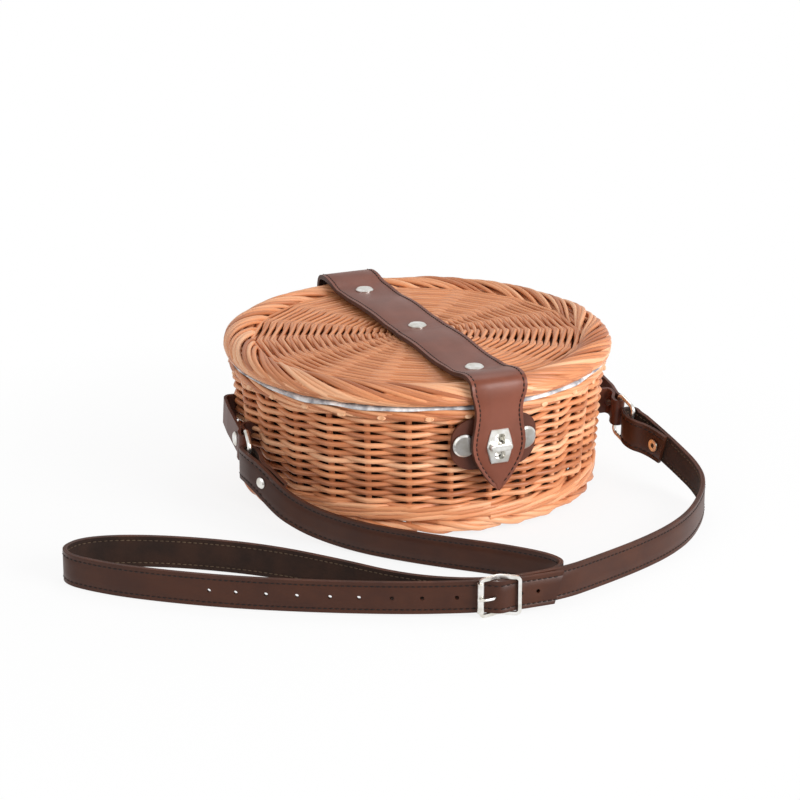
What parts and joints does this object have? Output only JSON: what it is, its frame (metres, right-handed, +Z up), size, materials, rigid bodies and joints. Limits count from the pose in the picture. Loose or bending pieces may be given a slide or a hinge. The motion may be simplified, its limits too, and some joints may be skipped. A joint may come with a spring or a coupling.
{
  "type": "round wicker shoulder bag",
  "caption": "Round woven willow shoulder bag with a hinged lid, a riveted leather strap closing on a turn lock, side hangers with wire rings and a long strap with a roller buckle.",
  "frame": {"origin": "on the ground under the middle of the round bag, at the bottom of its foot border", "axes": "+Z up out of the lid, -Y the front with the turn lock, +X to the right seen from the front"},
  "size_m": [0.4076, 0.3689, 0.1025],
  "materials": {
    "willow": "satin",
    "leather": "satin",
    "strap_leather": "satin",
    "nickel": "polished",
    "brass": "polished",
    "lining": "matte"
  },
  "bodies": {
    "basket": {"base_sticks": "willow", "base_weave": "willow", "foot_border": "willow", "side_stakes": "willow", "wall_weave": "willow", "top_border": "willow", "lining": "lining", "front_patch": "leather", "patch_rivets": "nickel", "lock_base": "nickel", "lock_washer": "nickel", "hanger_left": "leather", "hanger_right": "leather", "hanger_rivets": "nickel", "hinge_tail": "leather", "tail_rivets": "nickel", "hinge_bend": "leather", "strap_long": "strap_leather", "strap_short": "strap_leather", "buckle_fold": "strap_leather", "buckle_frame": "nickel", "buckle_bar": "nickel"},
    "lid": {"lid_sticks": "willow", "lid_weave": "willow", "lid_border": "willow", "lid_strap": "leather", "lid_rivets": "nickel", "tab_bend": "leather"},
    "tab": {"strap_tab": "leather", "slot_plate": "nickel", "slot_backing": "nickel"},
    "toggle": {"toggle_bar": "nickel"},
    "ring_left_swinging": {"ring_left": "nickel", "end_fold_left": "strap_leather", "fold_rivet": "nickel"},
    "ring_right_swinging": {"ring_right": "nickel", "end_fold_right": "strap_leather", "fold_eyelet": "brass"},
    "prong": {"buckle_prong": "nickel"},
    "roller": {"buckle_roller": "nickel"}
  },
  "joints": [
    {"name": "lid_hinge", "type": "hinge", "parent": "basket", "child": "lid", "pos_m": [0, 0.1242, 0.0863], "axis": [-1, 0, 0], "range_deg": [0, 110], "deforming": ["hinge_bend"]},
    {"name": "tab_swing", "type": "hinge", "parent": "lid", "child": "tab", "pos_m": [0, -0.119, 0.095], "axis": [-1, 0, 0], "range_deg": [0, 88], "deforming": ["tab_bend"]},
    {"name": "toggle_turn", "type": "hinge", "parent": "basket", "child": "toggle", "pos_m": [0, -0.125, 0.0608], "axis": [0, -1, 0], "range_deg": [0, 90]},
    {"name": "ring_left_swing", "type": "hinge", "parent": "basket", "child": "ring_left_swinging", "pos_m": [-0.12398, -0.01519, 0.03996], "axis": [-0.0374, -0.3317, 0.9426], "range_deg": [-45, 8], "deforming": ["strap_long", "strap_short"]},
    {"name": "ring_right_swing", "type": "hinge", "parent": "basket", "child": "ring_right_swinging", "pos_m": [0.12106, -0.04379, 0.03976], "axis": [-0.0374, -0.3317, 0.9426], "range_deg": [-20, 45], "deforming": ["strap_long", "strap_short"]},
    {"name": "prong_lift", "type": "hinge", "parent": "basket", "child": "prong", "pos_m": [-0.04897, -0.23337, 0.01215], "axis": [0, 0, 1], "range_deg": [0, 100], "deforming": ["strap_long", "strap_short"]},
    {"name": "roller_spin", "type": "hinge", "parent": "basket", "child": "roller", "pos_m": [-0.06101, -0.2352, 0.01215], "axis": [0, 0, 1], "continuous": true}
  ]
}
